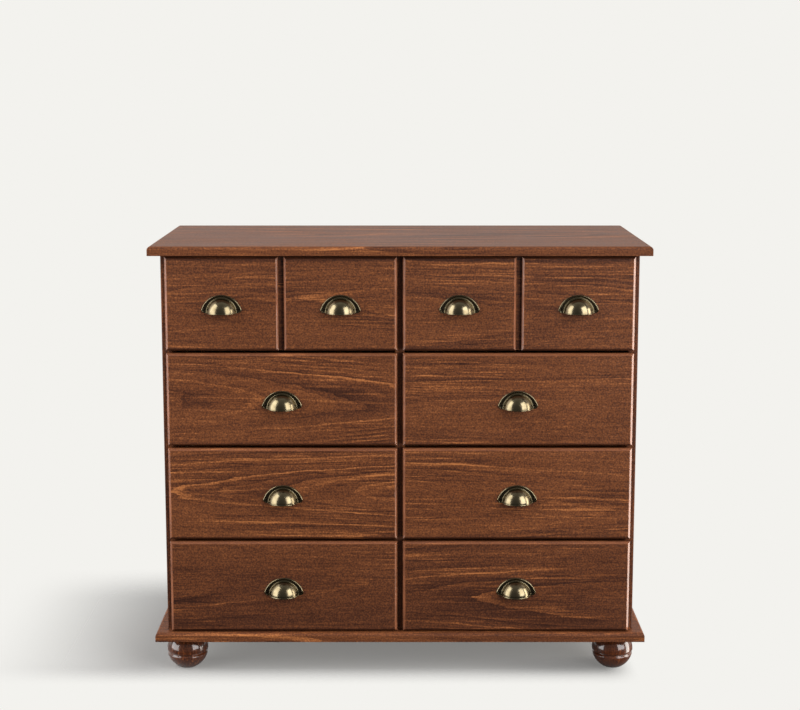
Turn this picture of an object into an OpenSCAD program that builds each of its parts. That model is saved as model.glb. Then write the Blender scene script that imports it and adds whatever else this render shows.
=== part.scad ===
// Chest of drawers on four ball feet: two columns of four drawers between a top panel and a base panel.
// The drawers of the top row are twice as wide as they look: a routed groove splits each front in two.
// Millimetres, Z up. The front faces -Y, +X is to the right seen from the front, and the origin lies on
// the floor under the middle of the whole outline.

/* [Top and base panels] */
// Width of the top and base panels
slab_w = 950; // [860:10:1100]
// Depth of the top and base panels, front edge to rear edge
slab_d = 400; // [370:5:480]
// Thickness of the top and base panels
slab_t = 18; // [16:1:24]
// Radius of the rounded upper edge of both panels, along the front and the sides
slab_round = 7; // [3:1:10]
// How far both panels stand out past each side panel
slab_overhang = 21; // [12:1:30]

/* [Walls and back] */
// Thickness of the side panels and of the centre partition
wall_t = 18; // [16:1:22]
// Depth of the housings in the top and base panels that hold the walls
wall_housing = 6; // [4:1:8]
// Radius of the outer front edge of each side panel
wall_round = 2; // [1:0.5:3]
// Thickness of the back panel
back_t = 4; // [3:1:6]
// Depth of the groove that holds the back panel all round
back_groove = 6; // [4:1:8]
// Distance from the rear edge of the walls to the back panel
back_inset = 8; // [5:1:15]

/* [Drawer fronts] */
// Height of each drawer front
front_h = 179; // [160:1:200]
// Thickness of each drawer front
front_t = 18; // [17:1:22]
// Gap between one drawer front and the next one below it
row_gap = 5.5; // [3:0.5:8]
// Gap between the two columns of drawer fronts
centre_gap = 11; // [6:1:14]
// Gap between the top panel and the top row
top_gap = 2.5; // [2:0.5:5]
// Gap between the bottom row and the base panel
base_gap = 2; // [1.5:0.5:5]
// Width of side panel that shows beside each drawer front
side_reveal = 10; // [6:1:14]
// Distance from the front edge of the top panel back to the face of the drawer fronts
front_setback = 7; // [4:1:12]
// Clearance between a closed drawer front and the walls behind it
front_gap = 1; // [0.5:0.5:3]
// Width of the chamfer round each drawer front
front_chamfer = 4; // [2:0.5:6]
// Width of the groove that splits each front of the top row
split_w = 11; // [8:1:16]
// Depth of the groove that splits each front of the top row
split_depth = 10; // [7:0.5:10]
// Width of the chamfer along both shoulders of that groove
split_chamfer = 3.5; // [2:0.5:6]

/* [Drawer boxes] */
// Thickness of the drawer sides
side_t = 13; // [12:0.5:16]
// Thickness of the drawer back
rear_t = 13; // [10:1:16]
// Thickness of the drawer bottom
bottom_t = 4; // [3:0.5:6]
// Height of the drawer sides' lower edge above the lower edge of the front
box_rise = 12; // [8:1:20]
// Distance from the upper edge of the front down to the upper edge of the drawer sides
box_drop = 17; // [10:1:30]
// Distance from the upper edge of the drawer sides down to the upper edge of the drawer back
rear_drop = 8; // [4:1:20]
// Height of the drawer bottom above the lower edge of the drawer sides
bottom_rise = 9; // [6:1:14]
// Depth of the grooves in the front and the sides that hold the drawer bottom
bottom_groove = 5; // [3:0.5:6]
// Depth of the housings in the front that hold the drawer sides
side_housing = 6; // [4:0.5:6]
// Depth of the housings in the drawer sides that hold the drawer back
rear_housing = 4; // [3:0.5:5]
// Length of drawer side that runs on behind the drawer back
rear_tail = 10; // [6:1:20]
// Clearance between the rear end of a closed drawer and the back panel
drawer_rear_gap = 18; // [12:1:30]
// Clearance between each drawer side and the wall beside it
drawer_side_gap = 3; // [2:0.5:4]

/* [Runners] */
// Height of each wooden runner
runner_h = 12; // [10:1:16]
// Depth of the housing in the wall that holds each runner
runner_housing = 3; // [2:0.5:4]
// Depth of the groove in the drawer side that slides on the runner
runner_groove = 7; // [5:0.5:7.5]
// Clearance between the runner's inner face and the bottom of that groove
runner_tip_gap = 0.5; // [0.3:0.1:1]
// Clearance under a resting drawer, between its groove and the top of the runner
runner_rest_gap = 0.3; // [0.2:0.1:0.5]
// Clearance that lets a drawer tip up, under the runner
runner_lift = 1.2; // [0.8:0.1:2]
// Distance from the front edge of the walls back to the nose of each runner
runner_set = 12; // [8:1:30]
// Clearance between the nose of the runner and the closed end of the groove
runner_stop_gap = 1; // [0.5:0.5:3]
// Distance from the rear end of each runner to the back panel
runner_rear_gap = 10; // [5:1:20]
// Chamfer on the nose of each runner
runner_nose = 4; // [2:0.5:6]

/* [Feet] */
// Diameter of each ball foot
foot_dia = 80; // [66:1:90]
// Diameter of the flat that stands on the floor
foot_flat_dia = 35; // [20:1:45]
// Diameter of the flat that meets the base panel
foot_top_dia = 50; // [36:1:60]
// Distance from the edges of the base panel to the middle of each foot
foot_inset = 55; // [48:1:80]
// Height of the turned groove above the floor
foot_ring_h = 31; // [22:1:36]
// Width of the turned groove
foot_ring_w = 5; // [3:0.5:7]
// Depth of the turned groove
foot_ring_depth = 3; // [1.5:0.5:4]
// Diameter of the turned spigot that enters the base panel
spigot_dia = 22; // [16:1:30]
// Length of the spigot
spigot_l = 11; // [8:1:13]

/* [Cup pulls] */
// Distance between the two screws of a pull
pull_centres = 64; // [60:1:68]
// How far the cup stands out from the drawer front
cup_reach = 24; // [20:0.5:28]
// Radius of the cup where it meets its flange
cup_r = 28; // [26:0.5:28]
// Wall thickness of the cup
cup_wall = 1.4; // [1:0.1:2]
// Radius of the rolled beads on the cup and the flange
bead_r = 1.1; // [0.8:0.1:1.4]
// Distance from the edge of the flange to the bead that runs round it
bead_inset = 0.3; // [0.2:0.1:0.6]
// Thickness of the flange
flange_t = 1.6; // [1.2:0.1:2.2]
// Width of the flange beyond each screw
ear_r = 6; // [5.5:0.5:8]
// Height of the flange above the screws
flange_rise = 27; // [24:0.5:30]
// Distance from the screws down to the open edge of the cup
cup_drop = 7.5; // [6:0.5:9]

/* [Pull screws] */
// Diameter of the screw shank
screw_dia = 3; // [2.5:0.1:3.2]
// Diameter of the round screw head
screw_head_dia = 5; // [4.4:0.1:5.2]
// Height of the screw head
screw_head_h = 1.8; // [1.2:0.1:2.2]
// Length of the screw under its head
screw_l = 14; // [10:0.5:14]
// Width of the slot in the screw head
slot_w = 0.8; // [0.5:0.1:1]

/* [Fits] */
// Glue gap round the ends of boards and spigots that stand in a housing
joint_fit = 0.1; // [0.05:0.05:0.2]
// Play on each face of a thin panel in its groove
panel_fit = 0.2; // [0.1:0.05:0.3]
// Radial clearance round the pull screws
screw_fit = 0.05; // [0.03:0.01:0.1]
// Room left in a hole beyond the end of its spigot or screw
end_gap = 0.5; // [0.3:0.1:1]

/* [Hidden] */
// Steps of a full circle, and of the small round section of a bead
$fn = 64;
bead_fn = 16;
ROWS = [1, 2, 3, 4];
SIDES = ["left", "right"];
PIECES = ["front", "sides", "back", "bottom", "pull", "pull_screws"];

// Overshoot of every cut past the surface that it starts from
cut = 1;

// Ball foot
foot_r = foot_dia / 2;
foot_mid = sqrt(pow(foot_r, 2) - pow(foot_flat_dia / 2, 2));
foot_h = foot_mid + sqrt(pow(foot_r, 2) - pow(foot_top_dia / 2, 2));

// Cup: part of a sphere whose middle lies behind the face of the drawer front
cup_sphere_r = (pow(cup_r, 2) + pow(cup_reach - bead_r, 2)) / (2 * (cup_reach - bead_r));
cup_sphere_back = cup_sphere_r - (cup_reach - bead_r);

// Flange: an arc over the cup that runs into a round ear at each screw
ear_x = pull_centres / 2;
ear_z = ear_r - cup_drop;
flange_half = ear_x + ear_r;
flange_arc_h = flange_rise - ear_z;
flange_arc_r = (pow(flange_half, 2) + pow(flange_arc_h, 2)) / (2 * flange_arc_h);
flange_arc_z = flange_rise - flange_arc_r;
pull_low = cup_drop + bead_r;
// Radii of the two lines that the beads follow, and of the slightly thicker balls that end them
edge_bead_r = flange_arc_r - bead_r - bead_inset;
ear_bead_r = ear_r - bead_r - bead_inset;
bead_end_swell = 1.15;
bead_end_r = bead_end_swell * bead_r;
// Height of the screws above the middle of a drawer front, with the pull's outline in the middle
pull_z = (pull_low - flange_rise) / 2;

// Heights
base_z = foot_h;
body_z = base_z + slab_t;
body_h = len(ROWS) * front_h + (len(ROWS) - 1) * row_gap + top_gap + base_gap;
top_z = body_z + body_h;
wall_low = body_z - wall_housing + joint_fit;
wall_high = top_z + wall_housing - joint_fit;
box_h = front_h - box_rise - box_drop;

// Depths, from the front of the pulls to the rear edge of the top panel
pull_overreach = max(cup_reach - front_setback, 0);
slab_front = -(slab_d - pull_overreach) / 2;
slab_rear = slab_front + slab_d;
face_y = slab_front + front_setback;
front_rear = face_y + front_t;
wall_front = front_rear + front_gap;
back_front = slab_rear - back_inset - back_t;
box_rear = back_front - drawer_rear_gap;
runner_front = wall_front + runner_set;
runner_rear = back_front - runner_rear_gap;

// Widths
body_half = slab_w / 2 - slab_overhang;
bay_in = wall_t / 2;
bay_out = body_half - wall_t;
front_in = centre_gap / 2;
front_out = body_half - side_reveal;
front_w = front_out - front_in;
front_x = (front_in + front_out) / 2;
box_in = bay_in + drawer_side_gap;
box_out = bay_out - drawer_side_gap;
inner_in = box_in + side_t;
inner_out = box_out - side_t;
runner_proj = drawer_side_gap + runner_groove - runner_tip_gap;
split_pull_x = (front_w + split_w) / 4;

function drawer_node(row, side, piece) = str("drawer_", row, "_", side, "_", piece);
function front_z(row) = top_z - top_gap - row * front_h - (row - 1) * row_gap;
function box_z(row) = front_z(row) + box_rise;
function bottom_z(row) = box_z(row) + bottom_rise;
function runner_z(row) = box_z(row) + (box_h - runner_h) / 2;
function pull_places(row) = row == 1 ? [-split_pull_x, split_pull_x] : [0];

// A box from its lowest corner to its highest corner
module block(low, high) {
    translate(low) cube(high - low);
}

// Everything modelled for the right side, or its mirror image for the left
module on_side(side) {
    mirror([side == "left" ? 1 : 0, 0, 0]) children();
}

// What is left outside a round corner of radius r, with the solid towards +X and +Y of the origin
module corner_cut(r) {
    difference() {
        translate([-cut, -cut]) square([r + cut, r + cut]);
        translate([r, r]) circle(r = r);
    }
}

// A panel with a rounded upper edge along its front and both sides
module slab(z) {
    difference() {
        block([-slab_w / 2, slab_front, z], [slab_w / 2, slab_rear, z + slab_t]);
        translate([-slab_w / 2 - cut, slab_front, z + slab_t]) rotate([90, 0, 90])
            linear_extrude(slab_w + 2 * cut) mirror([0, 1]) corner_cut(slab_round);
        for (side = SIDES) on_side(side) {
            translate([slab_w / 2, slab_rear + cut, z + slab_t]) rotate([90, 0, 0])
                linear_extrude(slab_d + 2 * cut) rotate(180) corner_cut(slab_round);
        }
    }
}

// The space of the three walls as solid boards, made larger all round by the glue gap
module wall_space() {
    low = wall_low - joint_fit;
    high = wall_high + joint_fit;
    front = wall_front - joint_fit;
    for (side = SIDES) on_side(side) {
        block([bay_out - joint_fit, front, low], [body_half + joint_fit, slab_rear + cut, high]);
    }
    block([-bay_in - joint_fit, front, low], [bay_in + joint_fit, back_front, high]);
}

// The back panel with play on every face, or without it where play is 0
module back_board(play) {
    half = bay_out + back_groove - panel_fit + play;
    low = body_z - back_groove + panel_fit - play;
    high = top_z + back_groove - panel_fit + play;
    block([-half, back_front - play, low], [half, back_front + back_t + play, high]);
}

module top_panel() {
    color("saddlebrown") difference() {
        slab(top_z);
        wall_space();
        back_board(panel_fit);
    }
}

module base_panel() {
    color("saddlebrown") difference() {
        slab(base_z);
        wall_space();
        back_board(panel_fit);
        for (side = SIDES, rear = [false, true]) {
            foot_place(side, rear) spigot(joint_fit, end_gap);
        }
    }
}

// The housings in one face of a wall for the runners of every row, starting at x
module runner_slots(x) {
    for (row = ROWS) {
        z = runner_z(row);
        block([x, runner_front - joint_fit, z - joint_fit],
              [x + runner_housing + cut, runner_rear + joint_fit, z + runner_h + joint_fit]);
    }
}

module side_panel(side) {
    color("sienna") on_side(side) difference() {
        block([bay_out, wall_front, wall_low], [body_half, slab_rear, wall_high]);
        translate([body_half, wall_front, wall_low - cut])
            linear_extrude(wall_high - wall_low + 2 * cut) mirror([1, 0]) corner_cut(wall_round);
        back_board(panel_fit);
        runner_slots(bay_out - cut);
    }
}

module centre_partition() {
    color("peru") difference() {
        block([-bay_in, wall_front, wall_low], [bay_in, back_front - panel_fit, wall_high]);
        for (side = SIDES) on_side(side) runner_slots(bay_in - runner_housing);
    }
}

module back_panel() {
    color("burlywood") back_board(0);
}

// A runner in plan, from the bottom of its housing at wall_x to its tip at tip_x
module runner(wall_x, tip_x, row) {
    nose_x = tip_x + sign(wall_x - tip_x) * runner_nose;
    translate([0, 0, runner_z(row)]) linear_extrude(runner_h) polygon([
        [wall_x, runner_front],
        [nose_x, runner_front],
        [tip_x, runner_front + runner_nose],
        [tip_x, runner_rear],
        [wall_x, runner_rear]
    ]);
}

module bay_runners(side) {
    color("wheat") on_side(side) for (row = ROWS) {
        runner(bay_in - runner_housing + joint_fit, bay_in + runner_proj, row);
        runner(bay_out + runner_housing - joint_fit, bay_out - runner_proj, row);
    }
}

// Moves a foot modelled round the Z axis to its corner
module foot_place(side, rear) {
    y = rear ? slab_rear - foot_inset : slab_front + foot_inset;
    on_side(side) translate([slab_w / 2 - foot_inset, y, 0]) children();
}

// The turned spigot, or its hole in the base panel, wider by fit all round and longer by gap
module spigot(fit, gap) {
    translate([0, 0, foot_h - cut]) cylinder(d = spigot_dia + 2 * fit, h = spigot_l + cut + gap);
}

module foot(side, rear) {
    ring_r = sqrt(pow(foot_r, 2) - pow(foot_ring_h - foot_mid, 2));
    ring_half = foot_ring_w / 2 * (foot_ring_depth + cut) / foot_ring_depth;
    color("saddlebrown") foot_place(side, rear) {
        difference() {
            intersection() {
                translate([0, 0, foot_mid]) sphere(r = foot_r);
                cylinder(r = foot_r + cut, h = foot_h);
            }
            rotate_extrude() polygon([
                [ring_r - foot_ring_depth, foot_ring_h],
                [ring_r + cut, foot_ring_h - ring_half],
                [ring_r + cut, foot_ring_h + ring_half]
            ]);
        }
        spigot(0, 0);
    }
}

// The bottom of a drawer with play on every face, or without it where play is 0
module bottom_board(row, play) {
    fit = panel_fit - play;
    low = bottom_z(row) - play;
    block([inner_in - bottom_groove + fit, front_rear - bottom_groove + fit, low],
          [inner_out + bottom_groove - fit, box_rear - rear_tail, low + bottom_t + 2 * play]);
}

// The back of a drawer, made larger by fit where it stands in the sides
module rear_board(row, fit) {
    rear = box_rear - rear_tail;
    reach = rear_housing - joint_fit + fit;
    low = bottom_z(row) + bottom_t + panel_fit;
    high = box_z(row) + box_h - rear_drop + fit;
    block([inner_in - reach, rear - rear_t - fit, low], [inner_out + reach, rear + fit, high]);
}

// Both drawer sides without their grooves, made larger by fit
module side_boards(row, fit) {
    for (x = [[box_in, inner_in], [inner_out, box_out]]) {
        block([x[0] - fit, front_rear - side_housing + joint_fit - fit, box_z(row) - fit],
              [x[1] + fit, box_rear, box_z(row) + box_h + fit]);
    }
}

// A drawer front seen from above, with the splitting groove where split is true
module front_plan(split) {
    shoulder = split_w / 2 + split_chamfer;
    groove = [
        [front_x + shoulder, face_y],
        [front_x + split_w / 2, face_y + split_chamfer],
        [front_x + split_w / 2, face_y + split_depth],
        [front_x - split_w / 2, face_y + split_depth],
        [front_x - split_w / 2, face_y + split_chamfer],
        [front_x - shoulder, face_y]
    ];
    polygon(concat(
        [[front_in, front_rear], [front_out, front_rear], [front_out, face_y + front_chamfer],
         [front_out - front_chamfer, face_y]],
        split ? groove : [],
        [[front_in + front_chamfer, face_y], [front_in, face_y + front_chamfer]]
    ));
}

// A drawer front seen from its side
module front_profile(row) {
    low = front_z(row);
    high = low + front_h;
    polygon([
        [front_rear, low],
        [front_rear, high],
        [face_y + front_chamfer, high],
        [face_y, high - front_chamfer],
        [face_y, low + front_chamfer],
        [face_y + front_chamfer, low]
    ]);
}

// Moves a pull, modelled at the face of the wood midway between its screws, to its places
module pull_place(row) {
    for (x = pull_places(row)) {
        translate([front_x + x, face_y, front_z(row) + front_h / 2 + pull_z]) children();
    }
}

module drawer_front(row, side) {
    color("sienna") on_side(side) difference() {
        intersection() {
            translate([0, 0, front_z(row) - cut]) linear_extrude(front_h + 2 * cut) front_plan(row == 1);
            translate([front_in - cut, 0, 0]) rotate([90, 0, 90])
                linear_extrude(front_w + 2 * cut) front_profile(row);
        }
        side_boards(row, joint_fit);
        bottom_board(row, panel_fit);
        pull_place(row) screw_holes(screw_fit, screw_l - flange_t + end_gap);
    }
}

module drawer_sides(row, side) {
    groove_low = runner_z(row) - runner_lift;
    groove_high = runner_z(row) + runner_h + runner_rest_gap;
    groove_front = runner_front - runner_stop_gap;
    color("burlywood") on_side(side) difference() {
        side_boards(row, 0);
        rear_board(row, joint_fit);
        bottom_board(row, panel_fit);
        translate([0, rear_tail, 0]) bottom_board(row, panel_fit);
        block([box_in - cut, groove_front, groove_low],
              [box_in + runner_groove, box_rear + cut, groove_high]);
        block([box_out - runner_groove, groove_front, groove_low],
              [box_out + cut, box_rear + cut, groove_high]);
    }
}

module drawer_back(row, side) {
    color("burlywood") on_side(side) rear_board(row, 0);
}

module drawer_bottom(row, side) {
    color("peru") on_side(side) bottom_board(row, 0);
}

// The holes for both screws from the face of the wood inwards, wider than the screws by fit all round
module screw_holes(fit, depth) {
    for (x = [-ear_x, ear_x]) {
        translate([x, -cut, 0]) rotate([-90, 0, 0]) cylinder(d = screw_dia + 2 * fit, h = depth + cut);
    }
}

// A rolled bead on the face of the flange: a ring of radius r with its middle at x and z
module bead(x, z, r) {
    translate([x, -flange_t, z]) rotate([90, 0, 0])
        rotate_extrude() translate([r, 0]) circle(r = bead_r, $fn = bead_fn);
}

// The flange seen from the front
module flange_outline() {
    intersection() {
        translate([0, flange_arc_z]) circle(r = flange_arc_r);
        translate([-flange_half, ear_z]) square([2 * flange_half, flange_arc_h + cut]);
    }
    for (x = [-ear_x, ear_x]) translate([x, ear_z]) circle(r = ear_r);
    translate([-ear_x, -cup_drop]) square([2 * ear_x, ear_r]);
}

// The beads that run round the edge of the flange: over the arc and down round both ears
module edge_beads() {
    front = -2 * flange_t - bead_r;
    intersection() {
        bead(0, flange_arc_z, edge_bead_r);
        block([-2 * flange_half, front, ear_z], [2 * flange_half, 0, 2 * flange_rise]);
    }
    for (side = SIDES) on_side(side) {
        intersection() {
            bead(ear_x, ear_z, ear_bead_r);
            block([ear_x, front, -2 * cup_drop], [2 * flange_half, 0, ear_z]);
        }
        bead_end(ear_x + ear_bead_r, ear_z, [0, 0, 0]);
        bead_end(ear_x, ear_z - ear_bead_r, [90, 0, 45]);
    }
}

// A small ball that closes the end of a bead, turned so that none of its edges runs through a pole
module bead_end(x, z, turn) {
    intersection() {
        translate([x, -flange_t, z]) rotate(turn) sphere(r = bead_end_r);
        block([x - 2 * bead_r, -2 * flange_t - bead_r, z - 2 * bead_r], [x + 2 * bead_r, 0, z + 2 * bead_r]);
    }
}

// The half space in front of the wood and above the open edge of the cup
module pull_space() {
    big = 2 * flange_half;
    block([-big, -big, -cup_drop], [big, 0, big]);
}

module cup_pull() {
    difference() {
        union() {
            rotate([90, 0, 0]) linear_extrude(flange_t) flange_outline();
            edge_beads();
            intersection() {
                union() {
                    translate([0, cup_sphere_back, -cup_drop]) sphere(r = cup_sphere_r);
                    bead(0, -cup_drop, cup_r);
                }
                pull_space();
            }
            intersection() {
                translate([0, cup_sphere_back, -cup_drop])
                    rotate_extrude() translate([cup_sphere_r, 0]) circle(r = bead_r, $fn = bead_fn);
                block([-flange_half, -2 * cup_reach, -2 * cup_drop], [flange_half, 0, 0]);
            }
        }
        translate([0, cup_sphere_back, -cup_drop]) sphere(r = cup_sphere_r - cup_wall);
        for (x = [-ear_x, ear_x]) {
            translate([x, cut, 0]) rotate([90, 0, 0])
                cylinder(d = screw_dia + 2 * screw_fit, h = flange_t + 2 * cut);
        }
    }
}

module drawer_pulls(row, side) {
    color("darkkhaki") on_side(side) pull_place(row) cup_pull();
}

// A round-head wood screw along +Y, with the underside of its head at y = 0
module pull_screw() {
    head_r = screw_head_dia / 2;
    ball_r = (pow(head_r, 2) + pow(screw_head_h, 2)) / (2 * screw_head_h);
    shank_r = screw_dia / 2;
    tip_r = screw_dia / 10;
    slot_y = -screw_head_h / 2;
    rotate([-90, 0, 0]) rotate_extrude() polygon([
        [0, slot_y / 2],
        [shank_r, slot_y / 2],
        [shank_r, screw_l - shank_r],
        [tip_r, screw_l],
        [0, screw_l]
    ]);
    difference() {
        intersection() {
            translate([0, ball_r - screw_head_h, 0]) sphere(r = ball_r);
            block([-head_r, -screw_head_h, -head_r], [head_r, 0, head_r]);
        }
        block([-slot_w / 2, -screw_head_h - cut, -head_r - cut], [slot_w / 2, slot_y, head_r + cut]);
    }
}

module drawer_pull_screws(row, side) {
    color("dimgray") on_side(side) pull_place(row) for (x = [-ear_x, ear_x]) {
        translate([x, -flange_t, 0]) pull_screw();
    }
}

top_panel();
base_panel();
side_panel("left");  // side_panel_left
side_panel("right");  // side_panel_right
centre_partition();
back_panel();
foot("left", false);  // foot_front_left
foot("right", false);  // foot_front_right
foot("left", true);  // foot_rear_left
foot("right", true);  // foot_rear_right
bay_runners("left");  // runners_left_bay
bay_runners("right");  // runners_right_bay
for (side = SIDES, row = ROWS) {
    drawer_front(row, side);
    drawer_sides(row, side);
    drawer_back(row, side);
    drawer_bottom(row, side);
    drawer_pulls(row, side);
    drawer_pull_screws(row, side);
}
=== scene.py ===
"""A dark stained chest of drawers with brass cup pulls and turned ball feet, in a plain studio."""

import math

import bmesh
import bpy
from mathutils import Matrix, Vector

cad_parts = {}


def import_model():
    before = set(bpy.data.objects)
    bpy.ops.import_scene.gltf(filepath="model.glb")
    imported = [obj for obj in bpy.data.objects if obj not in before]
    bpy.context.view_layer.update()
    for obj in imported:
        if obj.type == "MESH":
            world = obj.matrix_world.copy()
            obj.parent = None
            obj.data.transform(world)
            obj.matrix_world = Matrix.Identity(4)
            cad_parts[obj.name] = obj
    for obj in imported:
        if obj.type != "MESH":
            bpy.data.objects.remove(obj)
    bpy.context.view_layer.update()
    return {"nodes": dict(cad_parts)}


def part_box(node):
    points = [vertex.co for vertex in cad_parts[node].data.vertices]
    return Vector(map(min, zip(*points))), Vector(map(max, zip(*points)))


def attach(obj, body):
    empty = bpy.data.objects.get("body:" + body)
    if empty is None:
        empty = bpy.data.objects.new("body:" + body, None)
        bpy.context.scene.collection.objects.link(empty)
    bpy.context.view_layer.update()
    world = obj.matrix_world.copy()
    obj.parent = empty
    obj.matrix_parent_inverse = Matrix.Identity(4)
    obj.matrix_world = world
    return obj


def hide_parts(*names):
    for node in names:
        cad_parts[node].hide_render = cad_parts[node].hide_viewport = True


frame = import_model()
nodes = frame["nodes"]

MM = 0.001
ROWS = (1, 2, 3, 4)
SIDES = ("left", "right")


def rgb(red, green, blue):
    """A colour given as 0 to 255 on a screen, as the linear colour that the shaders take."""
    linear = []
    for value in (red, green, blue):
        c = value / 255
        linear.append(c / 12.92 if c <= 0.04045 else ((c + 0.055) / 1.055) ** 2.4)
    return (*linear, 1.0)


# Camera: metres and degrees, with the lens and the sensor in millimetres

CAMERA_BACK = 2.80      # from the front edge of the top panel
CAMERA_UP = 1.159
CAMERA_PITCH = 7.88
CAMERA_LENS = 67.73
CAMERA_SENSOR = 36
CAMERA_SHIFT = -0.09

camera_data = bpy.data.cameras.new("camera")
camera_data.lens = CAMERA_LENS
camera_data.sensor_width = CAMERA_SENSOR
camera_data.shift_y = CAMERA_SHIFT
camera = bpy.data.objects.new("camera", camera_data)
bpy.context.scene.collection.objects.link(camera)
camera.location = (0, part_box("top_panel")[0].y - CAMERA_BACK, CAMERA_UP)
camera.rotation_euler = (math.radians(90 - CAMERA_PITCH), 0, 0)
bpy.context.scene.camera = camera
bpy.context.scene.view_settings.view_transform = "Standard"


# Small helpers that build node trees

def add(tree, kind, *values, **settings):
    """Adds a node. The values go to its inputs in order: a socket is linked, a number set, None left."""
    made = tree.nodes.new(kind)
    for key, value in settings.items():
        setattr(made, key, value)
    for socket, value in zip(made.inputs, values):
        wire(tree, socket, value)
    return made


def wire(tree, socket, value):
    """Links a socket to the input, or sets the input to a value."""
    if isinstance(value, bpy.types.NodeSocket):
        tree.links.new(value, socket)
    elif value is not None:
        socket.default_value = value


def maths(tree, operation, *values):
    return add(tree, "ShaderNodeMath", *values, operation=operation).outputs[0]


def vectors(tree, operation, *values):
    return add(tree, "ShaderNodeVectorMath", *values, operation=operation).outputs[0]


def centred(tree, value):
    """A value from 0 to 1 as one from -0.5 to 0.5."""
    return maths(tree, "SUBTRACT", value, 0.5)


def span(tree, value, low, high, start, end, smooth=False):
    """value from low to high becomes start to end, and stays there beyond them."""
    kind = "SMOOTHSTEP" if smooth else "LINEAR"
    return add(tree, "ShaderNodeMapRange", value, low, high, start, end, interpolation_type=kind).outputs[0]


def object_point(tree):
    """The point in the object's own space, in metres."""
    return add(tree, "ShaderNodeTexCoord").outputs["Object"]


def noise(tree, point, waves, detail=2.0, output="Fac"):
    """Smooth noise, in waves per metre: one number, or one for each axis."""
    if not isinstance(waves, tuple):
        waves = (waves, waves, waves)
    return add(tree, "ShaderNodeTexNoise", vectors(tree, "MULTIPLY", point, waves),
               None, 1.0, detail).outputs[output]


def ramp(tree, value, stops):
    """A colour ramp through (place, colour) stops."""
    made = add(tree, "ShaderNodeValToRGB", value)
    elements = made.color_ramp.elements
    while len(elements) < len(stops):
        elements.new(0.5)
    for element, (place, colour) in zip(elements, stops):
        element.position = place
        element.color = colour
    return made.outputs[0]


def grey_ramp(tree, value, levels):
    """A ramp through (place, level) pairs."""
    return ramp(tree, value, [(place, (level, level, level, 1.0)) for place, level in levels])


def mix(tree, factor, first, second):
    """Mixes two colours."""
    made = add(tree, "ShaderNodeMix", data_type="RGBA")
    for name, value in (("Factor_Float", factor), ("A_Color", first), ("B_Color", second)):
        wire(tree, next(s for s in made.inputs if s.identifier == name), value)
    return next(s for s in made.outputs if s.identifier == "Result_Color")


def bump(tree, height, distance, strength):
    made = add(tree, "ShaderNodeBump")
    made.inputs["Strength"].default_value = strength
    made.inputs["Distance"].default_value = distance
    wire(tree, made.inputs["Height"], height)
    return made.outputs[0]


def new_material(name):
    """A material with an empty tree, its output node and one principled shader."""
    made = bpy.data.materials.new(name)
    made.use_nodes = True
    tree = made.node_tree
    tree.nodes.clear()
    shader = add(tree, "ShaderNodeBsdfPrincipled")
    output = add(tree, "ShaderNodeOutputMaterial")
    tree.links.new(shader.outputs[0], output.inputs["Surface"])
    return made, tree, shader


# The grain of wood. Waves are per metre along the grain, through the board and across it

# How far one step of the seed moves the pattern, in metres
SEED_STEP = (3.1, 1.7, 2.3)
# Waves, reach and detail of what pushes the rings about: slow bends, wavelets, and the fraying of each line
RING_PUSHES = (
    ((1.1, 5.0, 5.0), 34 * MM, 1.0),
    ((5.0, 32.0, 32.0), 8.5 * MM, 2.0),
    ((24.0, 190.0, 190.0), 2.4 * MM, 2.0),
    ((70.0, 600.0, 600.0), 0.6 * MM, 1.0),
)
# The tone through a ring: it darkens suddenly and lightens slowly to a thin bright line
RING_TONES = ((0.0, 0.0), (0.16, 0.28), (0.45, 0.47), (0.82, 0.54), (0.88, 1.0), (0.99, 1.0), (1.0, 0.0))
RING_LEAST = 0.06       # contrast of the weakest ring
RING_MORE = 1.05        # what the strongest ring has beyond that
RING_RARE = 2.4         # the higher, the fewer strong rings
# The same for finer rings
FINE_TONES = ((0.0, 0.0), (0.25, 0.35), (0.55, 0.5), (0.75, 1.0), (0.97, 0.9), (1.0, 0.0))
FINE_RATE = 1.9         # finer rings to a ring
FINE_BANDS = ((1.6, 15.0, 15.0), 1.0)
# And for broad zones, light up to a ragged edge and dark beyond it
ZONE_TONES = ((0.0, 0.0), (0.30, 0.42), (0.70, 0.60), (0.93, 0.80), (0.995, 1.0), (1.0, 0.0))
ZONE_RATE = 0.37        # zones to a ring
ZONE_STEP = 0.29        # how far one step of the seed moves the zones, in zones
ZONE_CONTRAST = 0.36
# Waves and detail of the rest of the grain
BUSY = ((2.4, 11.0, 11.0), 1.0)
FIBRES = ((22.0, 400.0, 400.0), 4.0)
LIGHT_STREAKS = ((5.0, 260.0, 260.0), 2.0)
DARK_STREAKS = ((6.0, 300.0, 300.0), 2.0)
STREAKS_MEAN = 0.12
FLECKS = ((330.0, 360.0, 360.0), 2.0)
SPECKS = ((160.0, 1500.0, 1500.0), 1.0)
CLOUDS = ((5.0, 17.0, 17.0), 2.0)


def ring_tone(tree, turn, seed, tones):
    """The tone of the ring that turn lies in, about zero, and that ring's own chance from 0 to 1."""
    year = maths(tree, "ADD", maths(tree, "FLOOR", turn), seed)
    chance = add(tree, "ShaderNodeTexWhiteNoise", None, year, noise_dimensions="1D").outputs["Value"]
    return centred(tree, grey_ramp(tree, maths(tree, "FRACT", turn), tones)), chance


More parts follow.
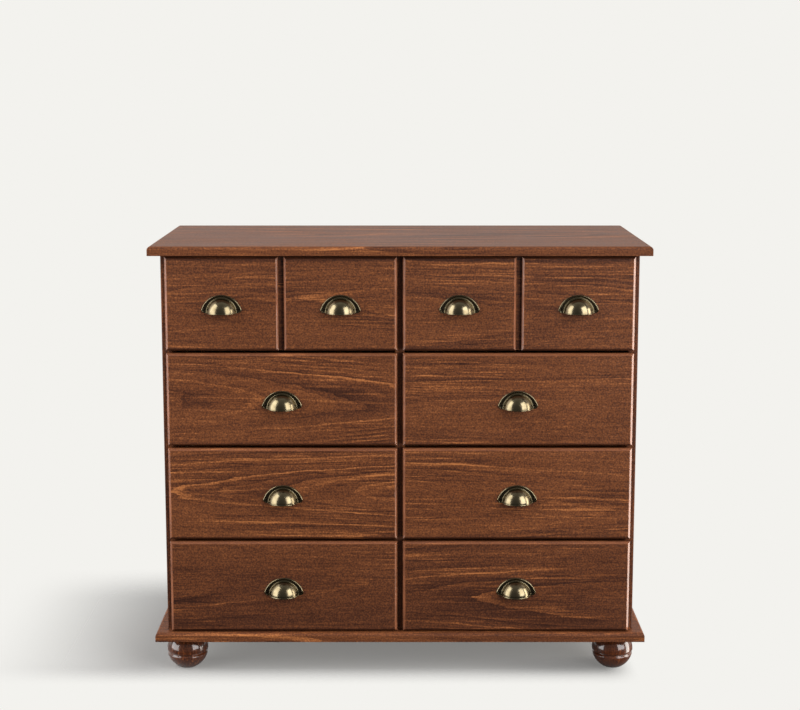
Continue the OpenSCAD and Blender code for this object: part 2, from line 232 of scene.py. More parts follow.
def grain_group():
    """A node group that gives the grain at a point, with X along the grain and Y through the board.

    The rings lie round a pith line that runs behind the face and leans towards one end, so the face shows
    pointed arches where it only grazes a ring, and close straight lines towards its edges."""
    tree = bpy.data.node_groups.new("wood_grain", "ShaderNodeTree")
    for name in ("Point", "Pith"):
        tree.interface.new_socket(name=name, in_out="INPUT", socket_type="NodeSocketVector")
    for name in ("Lean", "Spacing", "Seed"):
        tree.interface.new_socket(name=name, in_out="INPUT", socket_type="NodeSocketFloat")
    for name in ("Rings", "Fibres", "Pores", "Streaks", "Flecks", "Clouds"):
        tree.interface.new_socket(name=name, in_out="OUTPUT", socket_type="NodeSocketFloat")
    given = add(tree, "NodeGroupInput").outputs
    result = add(tree, "NodeGroupOutput").inputs
    seed = given["Seed"]
    seeds = add(tree, "ShaderNodeCombineXYZ", seed, seed, seed).outputs[0]
    point = vectors(tree, "MULTIPLY_ADD", seeds, SEED_STEP, given["Point"])

    # The distance from the pith line, counted in rings
    warped = vectors(tree, "SUBTRACT", given["Point"], given["Pith"])
    for waves, reach, detail in RING_PUSHES:
        push = vectors(tree, "SUBTRACT", noise(tree, point, waves, detail, "Color"), (0.5, 0.5, 0.5))
        warped = vectors(tree, "MULTIPLY_ADD", push, (0.0, reach, reach), warped)
    parts = add(tree, "ShaderNodeSeparateXYZ", warped).outputs
    depth = maths(tree, "MULTIPLY_ADD", parts[0], given["Lean"], parts[1])
    flat = add(tree, "ShaderNodeCombineXYZ", 0.0, depth, parts[2]).outputs[0]
    radius = add(tree, "ShaderNodeVectorMath", flat, operation="LENGTH").outputs["Value"]
    turn = maths(tree, "DIVIDE", radius, given["Spacing"])

    # A few rings stand out much more than the rest
    tone, chance = ring_tone(tree, turn, seed, RING_TONES)
    contrast = maths(tree, "MULTIPLY_ADD", maths(tree, "POWER", chance, RING_RARE), RING_MORE, RING_LEAST)
    lines = maths(tree, "MULTIPLY", tone, contrast)

    # Finer rings show in bands only
    tone, chance = ring_tone(tree, maths(tree, "MULTIPLY", turn, FINE_RATE), seed, FINE_TONES)
    band = span(tree, noise(tree, warped, *FINE_BANDS), 0.52, 0.60, 0.0, 0.75, smooth=True)
    fine = maths(tree, "MULTIPLY", tone, maths(tree, "MULTIPLY", chance, band))
    lines = maths(tree, "ADD", lines, fine)

    # Broad zones follow the same rings
    zone = maths(tree, "MULTIPLY_ADD", turn, ZONE_RATE, maths(tree, "MULTIPLY", seed, ZONE_STEP))
    zone = centred(tree, grey_ramp(tree, maths(tree, "FRACT", zone), ZONE_TONES))
    zones = maths(tree, "MULTIPLY", zone, ZONE_CONTRAST)

    # Some parts of a board are streaky and others plain
    busy = span(tree, noise(tree, point, *BUSY), 0.38, 0.62, 0.25, 1.15, smooth=True)
    wire(tree, result["Rings"], maths(tree, "MULTIPLY", maths(tree, "ADD", lines, zones), busy))

    # Thin light and dark lines, sharp at their edges
    light = span(tree, noise(tree, warped, *LIGHT_STREAKS), 0.57, 0.63, 0.0, 1.0)
    dark = span(tree, noise(tree, warped, *DARK_STREAKS), 0.60, 0.67, 0.0, 0.8)
    streaks = maths(tree, "SUBTRACT", maths(tree, "SUBTRACT", light, dark), STREAKS_MEAN)
    wire(tree, result["Streaks"], maths(tree, "MULTIPLY", streaks, busy))

    for name, waves in (("Fibres", FIBRES), ("Flecks", FLECKS), ("Clouds", CLOUDS)):
        wire(tree, result[name], centred(tree, noise(tree, point, *waves)))
    wire(tree, result["Pores"], span(tree, noise(tree, point, *SPECKS), 0.60, 0.74, 0.0, 1.0, smooth=True))
    return tree


# Wood

GRAIN = grain_group()

# Stops of the stain from its darkest to its lightest tone
DARK_STAIN = [(0.0, rgb(54, 29, 20)), (0.30, rgb(85, 48, 31)), (0.50, rgb(111, 64, 38)),
              (0.70, rgb(138, 82, 47)), (1.0, rgb(190, 119, 68))]
TURNED_STAIN = [(0.0, rgb(44, 20, 11)), (0.45, rgb(78, 39, 21)), (0.7, rgb(106, 56, 29)),
                (1.0, rgb(150, 86, 48))]
PALE_WOOD = [(0.0, rgb(150, 112, 74)), (0.4, rgb(190, 155, 112)), (0.6, rgb(206, 174, 132)),
             (1.0, rgb(224, 198, 160))]
# Worn stain on the chamfers, also standing in as a painted highlight there
WORN_EDGE_AND_HIGHLIGHT = rgb(160, 98, 64)

# The forms of a drawer front where painted shade darkens the stain, and where the stain is painted lighter as
# wear and as a painted highlight
CHAMFER = 4 * MM
SPLIT_HALF = 5.5 * MM       # half the groove that splits a front of the top row
SHOULDER = 3.5 * MM         # chamfer along that groove
UPPER_WEAR_AND_LIGHT = 0.45           # wear and painted light of the upper edge, as a share of the ends'
# Painted shade: two distances from an edge, and how much darker the stain is at the first of them than at the
# second
LOWER_PAINTED_SHADE = (1 * MM, 7 * MM, 0.32)
UPPER_PAINTED_SHADE = (2 * MM, 10 * MM, 0.40)
# Painted shade in the channel of the groove that splits a top-row front
CHANNEL_PAINTED_SHADE = 0.06

# How much each part of the grain shows in the tone, besides the rings, and in the roughness and the relief
DARK_SHARES = {"Fibres": 0.42, "Streaks": 0.26, "Flecks": 1.05, "Clouds": 0.16}
PALE_SHARES = {"Fibres": 0.40, "Streaks": 0.10, "Flecks": 0.20, "Clouds": 0.22}
ROUGH_SHARES = {"Fibres": 0.16, "Clouds": 0.12}
RELIEF_SHARES = {"Pores": -0.6, "Rings": 0.35}
PORE_TINT = 0.30            # how far the pores show the darkest stain
GRAIN_DEPTH = 0.25 * MM


def arris(tree, inward, deep, size):
    """1 on a chamfer of that size, 0 elsewhere: inward is the distance from the edge, deep from the face."""
    off = maths(tree, "ABSOLUTE", maths(tree, "SUBTRACT", maths(tree, "ADD", inward, deep), size))
    return span(tree, off, 0.5 * MM, 1.1 * MM, 1.0, 0.0, smooth=True)


def edge_wear_and_highlight(tree, parts, half, split):
    """How far the chamfers of a front are painted lighter, as worn stain and as a painted highlight. half is
    half its size, as x, y and z.
    """
    deep = maths(tree, "ADD", parts[1], half[1])
    across = maths(tree, "ABSOLUTE", parts[0])
    ends = arris(tree, maths(tree, "SUBTRACT", half[0], across), deep, CHAMFER)
    if split:
        shoulders = arris(tree, maths(tree, "SUBTRACT", across, SPLIT_HALF), deep, SHOULDER)
        return maths(tree, "MAXIMUM", ends, shoulders)
    upper = arris(tree, maths(tree, "SUBTRACT", half[2], parts[2]), deep, CHAMFER)
    return maths(tree, "MAXIMUM", ends, maths(tree, "MULTIPLY", upper, UPPER_WEAR_AND_LIGHT))


def front_tone(tree, parts, half, split, fade, tone):
    """Tone of the stain over a drawer front. Painted shade makes it fall by fade from the upper edge to the
    lower edge.
    """
    if fade:
        tone = span(tree, parts[2], -half[2], half[2], tone - fade, tone)
    # On the face, painted shade darkens the stain along the lower edge, and under the top
    near, far, most = LOWER_PAINTED_SHADE
    painted_shade = span(tree, parts[2], near - half[2], far - half[2], most, 0.0, smooth=True)
    if split:
        near, far, most = UPPER_PAINTED_SHADE
        painted_shade = maths(tree, "ADD", painted_shade, span(tree, parts[2], half[2] - far, half[2] - near, 0.0, most))
    behind = CHAMFER - half[1]
    on_face = span(tree, parts[1], behind - 1 * MM, behind + 1 * MM, 1.0, 0.0)
    tone = maths(tree, "SUBTRACT", tone, maths(tree, "MULTIPLY", painted_shade, on_face))
    if split:
        # Painted shade in the groove's channel
        across = maths(tree, "ABSOLUTE", parts[0])
        channel = span(tree, across, SPLIT_HALF - 0.5 * MM, SPLIT_HALF, CHANNEL_PAINTED_SHADE, 0.0)
        tone = maths(tree, "SUBTRACT", tone, channel)
    return tone


def shared(tree, found, shares, value):
    """value plus a share of each output of the grain that shares names."""
    for output, share in shares.items():
        value = maths(tree, "MULTIPLY_ADD", found[output], share, value)
    return value


def wood(name, centre, axes, seed, stops, pith, lean, spacing, rings=0.70, shares=DARK_SHARES, tone=0.50,
         front=None, roughness=0.38, specular=0.30, coat=0.0, coat_roughness=0.20, coat_ior=1.5, relief=1.0):
    """Wood with its grain along axes[0], flat sawn so that axes[1] runs through the board.

    centre is the board's middle, and pith the distance from it to the pith line, through and across the
    board. front is for a drawer front: half its size, whether a groove splits it, and how much painted
    shade darkens it towards its lower edge."""
    made, tree, shader = new_material(name)
    place = vectors(tree, "SUBTRACT", object_point(tree), tuple(centre))
    parts = add(tree, "ShaderNodeSeparateXYZ", place).outputs
    turned = add(tree, "ShaderNodeCombineXYZ", *[parts["xyz".index(letter)] for letter in axes]).outputs[0]
    grain = add(tree, "ShaderNodeGroup", node_tree=GRAIN)
    for key, value in (("Point", turned), ("Pith", (0.0, *pith)), ("Lean", lean),
                       ("Spacing", spacing), ("Seed", float(seed))):
        wire(tree, grain.inputs[key], value)
    found = grain.outputs

    if front:
        tone = front_tone(tree, parts, *front, tone)
    tone = shared(tree, found, {"Rings": rings, **shares}, tone)
    colour = ramp(tree, tone, stops)
    colour = mix(tree, maths(tree, "MULTIPLY", found["Pores"], PORE_TINT), colour, stops[0][1])
    if front:
        half, split = front[:2]
        # The chamfers are painted lighter, partly as worn stain and partly as a painted highlight
        rubbed = span(tree, noise(tree, place, 22.0, 3.0), 0.35, 0.70, 0.35, 0.90)
        wear_and_highlight = maths(tree, "MULTIPLY", edge_wear_and_highlight(tree, parts, half, split), rubbed)
        colour = mix(tree, wear_and_highlight, colour, WORN_EDGE_AND_HIGHLIGHT)
    wire(tree, shader.inputs["Base Color"], colour)

    wire(tree, shader.inputs["Roughness"], shared(tree, found, ROUGH_SHARES, roughness))
    shader.inputs["Specular IOR Level"].default_value = specular
    shader.inputs["Coat Weight"].default_value = coat
    shader.inputs["Coat Roughness"].default_value = coat_roughness
    shader.inputs["Coat IOR"].default_value = coat_ior
    height = shared(tree, found, RELIEF_SHARES, found["Fibres"])
    wire(tree, shader.inputs["Normal"], bump(tree, height, GRAIN_DEPTH * relief, 0.5))
    return made


def middle(node):
    low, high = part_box(node)
    return (low + high) / 2


def dress(obj, material):
    obj.data.materials.clear()
    obj.data.materials.append(material)


def soften(obj, width):
    """Rounds every arris of a board a little. The board's own mesh stays as it is."""
    weld = obj.modifiers.new("weld", "WELD")
    weld.merge_threshold = 0.01 * MM
    flat = obj.modifiers.new("flat", "DECIMATE")
    flat.decimate_type = "DISSOLVE"
    flat.angle_limit = math.radians(0.5)
    bevel = obj.modifiers.new("bevel", "BEVEL")
    bevel.width = width
    bevel.segments = 4
    bevel.limit_method = "ANGLE"
    bevel.angle_limit = math.radians(28)
    normals = obj.modifiers.new("normals", "WEIGHTED_NORMAL")
    normals.weight = 100
    normals.keep_sharp = False


# Boards of the carcass, which have no lacquer: first those that lie flat

for name, seed, rings in (("top_panel", 31, 0.75), ("base_panel", 38, 0.5)):
    dress(nodes[name], wood(name, middle(name), "xzy", seed, DARK_STAIN, pith=(-120 * MM, 30 * MM),
                            lean=0.05, spacing=12 * MM, rings=rings, roughness=0.5, specular=0.2))
    soften(nodes[name], 0.9 * MM)
for name, seed, tone, specular in (("side_panel_left", 51, 0.37, 0.25), ("side_panel_right", 60, 0.37, 0.25),
                                   ("centre_partition", 69, 0.62, 0.55)):
    dress(nodes[name], wood(name, middle(name), "zxy", seed, DARK_STAIN, pith=(100 * MM, 20 * MM), lean=0.06,
                            spacing=14 * MM, rings=0.6, tone=tone, roughness=0.5, specular=specular))
    soften(nodes[name], 0.9 * MM)

# Drawer fronts, each from its own piece of wood. The bottom row is painted darker, most at its lower edge, as
# painted shade towards the floor
FRONT_TONES = {1: 0.50, 2: 0.515, 3: 0.53, 4: 0.47}
FRONT_SHADE_FADES = {1: 0.0, 2: 0.0, 3: 0.0, 4: 0.14}
for row in ROWS:
    for number, side in enumerate(SIDES):
        name = f"drawer_{row}_{side}_front"
        seed = 3 * row + 17 * number
        low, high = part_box(name)
        pith = (58 * MM + 14 * MM * math.sin(1.3 * seed), 30 * MM * math.sin(2.1 * seed))
        dress(nodes[name], wood(name, middle(name), "xyz", seed, DARK_STAIN, pith=pith,
                                lean=0.045 if (row + number) % 2 else -0.045, spacing=9.5 * MM,
                                tone=FRONT_TONES[row], coat=0.65,
                                front=(tuple((high - low) / 2), row == 1, FRONT_SHADE_FADES[row])))
        soften(nodes[name], 0.45 * MM)


def fibreboard(name):
    """Thin brown board of pressed fibres, mottled and a little shiny."""
    made, tree, shader = new_material(name)
    place = object_point(tree)
    tone = maths(tree, "MULTIPLY", noise(tree, place, 7.0, 3.0), 0.35)
    for waves in (150.0, 520.0):
        tone = maths(tree, "MULTIPLY_ADD", noise(tree, place, waves, 3.0), 0.55, tone)
    wire(tree, shader.inputs["Base Color"], ramp(tree, tone, [
        (0.50, rgb(94, 66, 42)), (0.72, rgb(132, 97, 64)), (0.95, rgb(166, 130, 92))]))
    fine = noise(tree, place, 900.0)
    wire(tree, shader.inputs["Roughness"], span(tree, fine, 0.3, 0.7, 0.42, 0.58))
    shader.inputs["Specular IOR Level"].default_value = 0.35
    wire(tree, shader.inputs["Normal"], bump(tree, fine, 0.12 * MM, 0.4))
    return made


# Drawer boxes, runners and thin boards
PALE = {"pith": (300 * MM, 100 * MM), "lean": 0.03, "spacing": 6 * MM, "rings": 0.22,
        "shares": PALE_SHARES, "roughness": 0.55}
side_wood = wood("box_sides", (0, 0, 0), "yxz", 5, PALE_WOOD, **PALE)
back_wood = wood("box_backs", (0, 0, 0), "xyz", 8, PALE_WOOD, **PALE)
thin_board = fibreboard("hardboard")
for name, obj in nodes.items():
    if name.endswith("_sides") or name.startswith("runners"):
        dress(obj, side_wood)
        soften(obj, 0.4 * MM)
    elif name.endswith("_back"):
        dress(obj, back_wood)
        soften(obj, 0.8 * MM)
    elif name.endswith("_bottom") or name == "back_panel":
        dress(obj, thin_board)


# Meshes that stand for a node

def smooth_piece(name, form, material, body, node, sharp=35):
    """Makes a piece from a bmesh: it rides on body and stands for node, which it hides."""
    bmesh.ops.recalc_face_normals(form, faces=form.faces)
    for face in form.faces:
        face.smooth = True
    for edge in form.edges:
        edge.smooth = edge.calc_face_angle(0.0) < math.radians(sharp)
    mesh = bpy.data.meshes.new(name)
    form.to_mesh(mesh)
    form.free()
    mesh.materials.append(material)
    made = bpy.data.objects.new(name, mesh)
    bpy.context.scene.collection.objects.link(made)
    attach(made, body)
    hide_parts(node)
    return made


def skin(form, rows, closed=False):
    """Faces between rows of vertices that have the same length: quads, or triangles at a shared corner."""
    pairs = list(zip(rows, rows[1:])) + ([(rows[-1], rows[0])] if closed else [])
    for one, other in pairs:
        for a, b, c, d in zip(one, one[1:], other[1:], other):
            corners = [v for i, v in enumerate((a, b, c, d)) if v not in (a, b, c, d)[:i]]
            if len(corners) > 2:
                form.faces.new(corners)


# Feet: turned balls with a softened V-groove

FOOT_STEPS = 72
FOOT_RINGS = 90
FOOT_FLAT = 35 * MM         # across the flat that stands on the floor
FOOT_EDGE = 1.6 * MM
FOOT_TOP_GAP = 0.4 * MM     # how far the upper flat stays inside the ball
GROOVE_UP = 31 * MM
GROOVE_WIDE = 5.6 * MM
GROOVE_DEEP = 3.1 * MM
GROOVE_SOFT = 0.22          # rounding of the groove's floor
SHOULDER_SOFT = 0.02        # and of its shoulders


def foot_profile(ball, ball_up, top):
    """(radius, height) up the side of a foot. The ball's middle lies ball_up above the floor."""
    points = [(0.0, 0.0), (FOOT_FLAT / 2 - FOOT_EDGE, 0.0)]
    for i in range(1, FOOT_RINGS):
        z = top * i / FOOT_RINGS
        r = math.sqrt(max(ball ** 2 - (z - ball_up) ** 2, 0.0))
        u = abs(z - GROOVE_UP) / (GROOVE_WIDE / 2)
        cut = 1 + GROOVE_SOFT - math.sqrt(u * u + GROOVE_SOFT ** 2)
        shoulder = 0.5 * (cut + math.sqrt(cut * cut + SHOULDER_SOFT))
        r -= GROOVE_DEEP * shoulder if u < 2 else 0.0
        points.append((r, z))
    points.append((math.sqrt(ball ** 2 - (top - ball_up) ** 2) - FOOT_TOP_GAP, top))
    points.append((0.0, top))
    return points


def foot(name):
    low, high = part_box(name)
    centre = (low + high) / 2
    ball = (high.x - low.x) / 2
    ball_up = math.sqrt(ball ** 2 - (FOOT_FLAT / 2) ** 2)
    profile = foot_profile(ball, ball_up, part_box("base_panel")[0].z)
    form = bmesh.new()
    rows = []
    ends = [form.verts.new((centre.x, centre.y, z)) for r, z in (profile[0], profile[-1])]
    for i in range(FOOT_STEPS):
        turn = 2 * math.pi * i / FOOT_STEPS
        ring = [form.verts.new((centre.x + r * math.cos(turn), centre.y + r * math.sin(turn), z))
                for r, z in profile[1:-1]]
        rows.append([ends[0], *ring, ends[1]])
    skin(form, rows, closed=True)
    seed = 3 * len(name) + (1 if centre.x > 0 else 0)
    material = wood(name + "_wood", centre, "zxy", seed, TURNED_STAIN, pith=(28 * MM, 12 * MM), lean=0.05,
                    spacing=5.5 * MM, rings=0.40, roughness=0.35, specular=0.15,
                    coat=1.0, coat_roughness=0.10, coat_ior=1.6, relief=0.1)
    return smooth_piece(name + "_turned", form, material, "carcass", name)


for name in list(nodes):
    if name.startswith("foot"):
        foot(name)


# Metal

def metal(name, bright, dull, grime, roughness):
    """Old metal: polished where hands rub it, dull elsewhere, and dark where the mesh says patina."""
    made, tree, shader = new_material(name)
    place = object_point(tree)
    cloudy = noise(tree, place, 110.0, 3.0)
    fine = noise(tree, place, 1200.0)
    hollow = add(tree, "ShaderNodeAttribute", attribute_name="patina").outputs["Fac"]
    aged = span(tree, maths(tree, "MULTIPLY_ADD", hollow, 0.55, cloudy), 0.35, 0.95, 0.0, 1.0, smooth=True)
    deep = maths(tree, "MULTIPLY_ADD", centred(tree, fine), 0.15, hollow)
    deep = span(tree, deep, 0.60, 1.0, 0.0, 0.92, smooth=True)
    colour = mix(tree, aged, bright, dull)
    wire(tree, shader.inputs["Base Color"], mix(tree, deep, colour, grime))
    rough = maths(tree, "MULTIPLY_ADD", aged, 0.08, roughness)
    rough = maths(tree, "ADD", rough, span(tree, hollow, 0.30, 0.80, 0.0, 0.24))
    wire(tree, shader.inputs["Roughness"], rough)
    wire(tree, shader.inputs["Normal"], bump(tree, fine, 0.01 * MM, 0.2))
    shader.inputs["Metallic"].default_value = 1.0
    return made


BRASS = metal("aged_brass", rgb(130, 119, 94), rgb(110, 97, 72), rgb(42, 34, 22), 0.19)
SCREW = metal("dark_screw", rgb(40, 34, 26), rgb(26, 22, 17), rgb(14, 11, 8), 0.50)
for name, obj in nodes.items():
    if name.endswith("_screws"):
        dress(obj, SCREW)


# Cup pulls. Sizes as made: the cup is part of a ball whose middle lies behind the wood

PULL_CENTRES = 64 * MM      # between the two screws
CUP_R = 28 * MM
CUP_REACH = 24 * MM
CUP_WALL = 1.4 * MM
CUP_DROP = 7.5 * MM         # from the screws down to the open edge
BEAD = 1.1 * MM
BEAD_INSET = 0.3 * MM
FLANGE_T = 1.6 * MM
FLANGE_RISE = 27 * MM       # from the screws up to the top of the flange
FLANGE_SINK = 0.12 * MM     # how far the flange's face lies below its thickness between the beads
FLANGE_BACK = 0.15 * MM     # chamfer round the flange's back
EAR_R = 6 * MM
PULL_STEPS = 96
DOME_STEPS = 22
LIP_STEPS = 12

# The cup's ball, and how far its outside, its inside and the rolled lip go round from the pole
ball_h = CUP_REACH - BEAD
BALL_R = (CUP_R ** 2 + ball_h ** 2) / (2 * ball_h)
BALL_BACK = BALL_R - ball_h
OUTSIDE_ARC = math.acos((BALL_BACK + FLANGE_T + 0.82 * BEAD) / BALL_R)
INSIDE_R = BALL_R - CUP_WALL
INSIDE_ARC = math.acos(BALL_BACK / INSIDE_R)
LIP_ARC = math.acos(BALL_BACK / BALL_R)
# The arc of the flange's upper edge
arc_h = FLANGE_RISE - EAR_R + CUP_DROP
ARC_R = ((PULL_CENTRES / 2 + EAR_R) ** 2 + arc_h ** 2) / (2 * arc_h)
ARC_UP = FLANGE_RISE + CUP_DROP - ARC_R

# Patina at the cup's pole, what its foot has beyond that, and how suddenly that comes
CUP_PATINA = (0.12, 0.25, 6)
INSIDE_PATINA = 0.9
# (degrees, patina) round the bead between cup and flange, and round the bead at the flange's edge
INNER_BEAD = ((118, 0.95), (95, 0.25), (70, 0.05), (45, 0.05), (20, 0.3), (0, 0.85))
OUTER_BEAD = ((180, 0.85), (150, 0.35), (120, 0.1), (90, 0.0), (60, 0.0), (30, 0.1), (0, 0.3))
# (share of the way out, patina) between the two beads
FLANGE_FACE = ((0.12, 0.50), (0.5, 0.05), (0.88, 0.25))
# Patina at the middle of a screw, and the distance over which it falls by 1
SCREW_PATINA = (1.2, 3.0 * MM)
# The outer bead fades out over this angle as it comes down to the open edge
BEAD_FADE = math.radians(9)


def flange_edge(turn):
    """Distance from the middle of the cup's open edge to the edge of the flange, turn up from the right."""
    across, up = abs(math.cos(turn)), math.sin(turn)
    b = up * ARC_UP
    arc = b + math.sqrt(b * b - ARC_UP ** 2 + ARC_R ** 2)
    if arc * up > EAR_R:
        return arc
    half = PULL_CENTRES / 2
    b = across * half + up * EAR_R
    return b + math.sqrt(max(b * b - half ** 2, 0.0))


def dome(radius, arc):
    """(distance out, height above the wood) from the pole of a ball outwards over an arc in radians."""
    angles = [arc * i / DOME_STEPS for i in range(DOME_STEPS + 1)]
    return [(radius * math.sin(a), radius * math.cos(a) - BALL_BACK) for a in angles]


def pull_section(turn):
    """(distance out, height above the wood, patina) all round the wall of a pull, cut along one ray."""
    edge = flange_edge(turn)
    fade = min(1.0, min(turn, math.pi - turn) / BEAD_FADE)
    least, more, power = CUP_PATINA
    section = [(*point, least + more * (i / DOME_STEPS) ** power)
               for i, point in enumerate(dome(BALL_R, OUTSIDE_ARC))]
    for degrees, patina in INNER_BEAD:
        a = math.radians(degrees)
        section.append((CUP_R + BEAD * math.cos(a), FLANGE_T + BEAD * math.sin(a), patina))
    flange_in = CUP_R + BEAD
    flange_out = edge - BEAD_INSET - 2 * BEAD
    for share, patina in FLANGE_FACE:
        section.append((flange_in + share * (flange_out - flange_in), FLANGE_T - FLANGE_SINK, patina))
    for degrees, patina in OUTER_BEAD:
        a = math.radians(degrees)
        section.append((edge - BEAD_INSET - BEAD + BEAD * math.cos(a),
                        FLANGE_T + fade * BEAD * math.sin(a), patina))
    section += [(edge, FLANGE_T - BEAD_INSET, 0.3), (edge, FLANGE_BACK, 0.8), (edge - FLANGE_BACK, 0.0, 1.0)]
    section += [(*point, INSIDE_PATINA) for point in reversed(dome(INSIDE_R, INSIDE_ARC))]
    return section


def add_lip(form, patina, x, face, low):
    """Adds the rolled lip along the open edge of a cup: rubbed bright outside and dull towards the hollow."""
    rings = []
    steps = PULL_STEPS // 2
    for i in range(steps + 1):
        a = LIP_ARC * (2 * i / steps - 1)
        ring = []
        for k in range(LIP_STEPS):
            b = 2 * math.pi * k / LIP_STEPS
            out = BALL_R + BEAD * math.cos(b)
            v = form.verts.new((x + out * math.sin(a), face - out * math.cos(a) + BALL_BACK,
                                low + BEAD * math.sin(b)))
            v[patina] = 0.05 if math.cos(b) > -0.3 else 0.7
            ring.append(v)
        rings.append([*ring, ring[0]])
    skin(form, rings)
    for ring in (rings[0], rings[-1]):
        form.faces.new(ring[:-1])


def add_pull(form, patina, x, face, z):
    """Adds a pull: its screws at height z, the middle of its open edge at x, on wood at y = face."""
    low = z - CUP_DROP
    most, fall = SCREW_PATINA
    rows = []
    poles = {}
    for i in range(PULL_STEPS + 1):
        t = i / PULL_STEPS
        turn = math.pi * (0.5 * t + 0.25 * (1 - math.cos(math.pi * t)))
        row = []
        for out, height, aged in pull_section(turn):
            key = round(height / MM, 3)
            on_pole = out < 0.001 * MM
            if on_pole and key in poles:
                row.append(poles[key])
                continue
            v = form.verts.new((x + out * math.cos(turn), face - height, low + out * math.sin(turn)))
            far = min(math.hypot(v.co.x - x - side * PULL_CENTRES / 2, v.co.z - z) for side in (-1, 1))
            v[patina] = max(aged, most - far / fall) if height < 2 * FLANGE_T else aged
            if on_pole:
                poles[key] = v
            row.append(v)
        rows.append(row)
    skin(form, rows)
    rim = [e for e in form.edges if e.is_boundary]
    bmesh.ops.contextual_create(form, geom=rim)
    bmesh.ops.triangulate(form, faces=[f for f in form.faces if len(f.verts) > 4])
    add_lip(form, patina, x, face, low)


for row in ROWS:
    for side in SIDES:
        node = f"drawer_{row}_{side}_pull"
        low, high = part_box(node)
        half = PULL_CENTRES / 2 + EAR_R
        form = bmesh.new()
        patina = form.verts.layers.float.new("patina")
        # The two ends of the box give two pulls in the top row and one elsewhere
        for x in sorted({round(low.x + half, 5), round(high.x - half, 5)}):
            add_pull(form, patina, x, high.y, high.z - FLANGE_RISE)
        smooth_piece(node + "_cast", form, BRASS, f"drawer_{row}_{side}", node)


# Studio

BACKGROUND = rgb(243, 242, 238)
# The floor's grey: where the shade mask below fades it into the background, it paints a soft shadow round the
# chest
FLOOR = (0.405, 0.402, 0.395, 1.0)
FLOOR_RADIUS = 30
FLOOR_DROP = 0.2 * MM
# Where the floor's grey shows, as a painted soft shadow that also takes the lamps' shadows, along X and along
# Y: none, full, full, none
SHADE = ((-0.89, -0.43, 0.40, 0.47), (-0.243, -0.145, 0.22, 0.46))
SHADE_MOST = 0.97
# Under the chest it shows a little less, which paints the shadow there lighter
SHADE_UNDER = (-0.52, -0.40)
SHADE_LEAST = 0.82
# A painted shadow of the right front foot, to its left: none and full along X, full and none off the line Y
FOOT_SHADE = (0.10, 0.10, 0.10, 1.0)
FOOT_SHADE_X = (0.10, 0.40)
FOOT_SHADE_OFF = (0.010, 0.065)
FOOT_SHADE_Y = -0.150
FOOT_SHADE_MOST = 0.75

# Light of the room, as a share of white: in front, behind, what straight above adds, and a share of it below
ROOM_FRONT = 0.12
ROOM_BEHIND = 0.55
ROOM_ABOVE = 0.10
ROOM_BELOW = 0.25

WHITE = (1.0, 1.0, 1.0)
WARM = (1.0, 0.95, 0.88)
# Name, place, the point that the lamp faces, width and height in metres, watts and colour
LAMPS = (
    ("front_right", (3.20, -2.80, 2.20), (0, -0.2, 1.30), (3.0, 4.2), 212, WHITE),
    ("side_left", (-2.50, -0.885, 1.90), (0, -0.107, 1.90), (2.02, 4.1), 120, WHITE),
    ("side_right", (2.30, -0.13, 0.40), (0, -0.13, 0.40), (0.86, 2.2), 45, WARM),
)


def floor_material():
    """A matt grey floor that holds the shadow round the chest, partly cast by the lamps and partly painted by
    its grey fading out. Beyond it the background comes through.
    """
    made, tree, shader = new_material("floor")
    shader.inputs["Roughness"].default_value = 0.9
    shader.inputs["Specular IOR Level"].default_value = 0.0
    parts = add(tree, "ShaderNodeSeparateXYZ", object_point(tree)).outputs
    off = maths(tree, "ABSOLUTE", maths(tree, "SUBTRACT", parts[1], FOOT_SHADE_Y))
    painted_foot_shadow = maths(tree, "MULTIPLY", span(tree, parts[0], *FOOT_SHADE_X, 0.0, FOOT_SHADE_MOST, smooth=True),
                 span(tree, off, *FOOT_SHADE_OFF, 1.0, 0.0, smooth=True))
    wire(tree, shader.inputs["Base Color"], mix(tree, painted_foot_shadow, FLOOR, FOOT_SHADE))
    kept = SHADE_MOST
    for axis, (low, full_low, full_high, high) in enumerate(SHADE):
        kept = maths(tree, "MULTIPLY", kept, span(tree, parts[axis], low, full_low, 0.0, 1.0, smooth=True))
        kept = maths(tree, "MULTIPLY", kept, span(tree, parts[axis], full_high, high, 1.0, 0.0, smooth=True))
    kept = maths(tree, "MULTIPLY", kept, span(tree, parts[0], *SHADE_UNDER, 1.0, SHADE_LEAST, smooth=True))
    clear = add(tree, "ShaderNodeBsdfTransparent").outputs[0]
    blend = add(tree, "ShaderNodeMixShader", kept, clear, shader.outputs[0])
    output = next(n for n in tree.nodes if n.type == "OUTPUT_MATERIAL")
    tree.links.new(blend.outputs[0], output.inputs["Surface"])
    return made


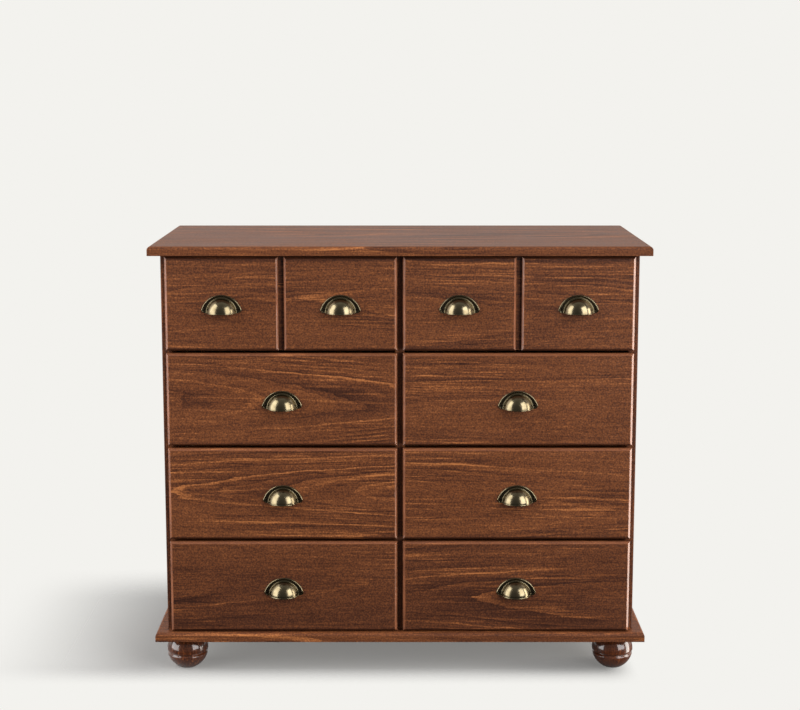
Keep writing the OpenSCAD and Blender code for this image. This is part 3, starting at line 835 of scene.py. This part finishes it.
def floor():
    mesh = bpy.data.meshes.new("floor")
    form = bmesh.new()
    bmesh.ops.create_circle(form, cap_ends=True, radius=FLOOR_RADIUS, segments=96)
    form.to_mesh(mesh)
    form.free()
    mesh.materials.append(floor_material())
    made = bpy.data.objects.new("floor", mesh)
    bpy.context.scene.collection.objects.link(made)
    made.location.z = -FLOOR_DROP


def softbox(name, place, target, size, power, colour):
    """A rectangular light at place that faces target."""
    data = bpy.data.lights.new(name, "AREA")
    data.shape = "RECTANGLE"
    data.size, data.size_y = size
    data.energy = power
    data.color = colour
    made = bpy.data.objects.new(name, data)
    bpy.context.scene.collection.objects.link(made)
    made.location = place
    made.rotation_euler = (Vector(target) - Vector(place)).to_track_quat("-Z", "Y").to_euler()
    made.visible_camera = False


def world():
    """A pale room: the camera sees the plain background, and the room is dimmer in front than behind."""
    made = bpy.data.worlds.new("world")
    made.use_nodes = True
    tree = made.node_tree
    tree.nodes.clear()
    way = add(tree, "ShaderNodeTexCoord").outputs["Generated"]
    parts = add(tree, "ShaderNodeSeparateXYZ", way).outputs
    level = maths(tree, "ADD", span(tree, parts[1], -0.6, 0.5, ROOM_FRONT, ROOM_BEHIND, smooth=True),
                  span(tree, parts[2], 0.25, 0.95, 0.0, ROOM_ABOVE, smooth=True))
    level = maths(tree, "MULTIPLY", level, span(tree, parts[2], -0.25, 0.05, ROOM_BELOW, 1.0, smooth=True))
    # A reflection shows the background where it looks to the back, above the floor
    behind = maths(tree, "MULTIPLY", span(tree, parts[1], 0.1, 0.6, 0.0, 1.0, smooth=True),
                   span(tree, parts[2], -0.15, 0.0, 0.0, 1.0, smooth=True))
    rays = add(tree, "ShaderNodeLightPath").outputs
    seen = maths(tree, "MAXIMUM", rays["Is Camera Ray"], rays["Is Transmission Ray"])
    seen = maths(tree, "MAXIMUM", seen, maths(tree, "MULTIPLY", rays["Is Glossy Ray"], behind))
    room = add(tree, "ShaderNodeBackground", (*WHITE, 1.0), level).outputs[0]
    plain = add(tree, "ShaderNodeBackground", BACKGROUND, 1.0).outputs[0]
    blend = add(tree, "ShaderNodeMixShader", seen, room, plain)
    tree.links.new(blend.outputs[0], add(tree, "ShaderNodeOutputWorld").inputs["Surface"])
    bpy.context.scene.world = made


floor()
world()
for lamp in LAMPS:
    softbox(*lamp)
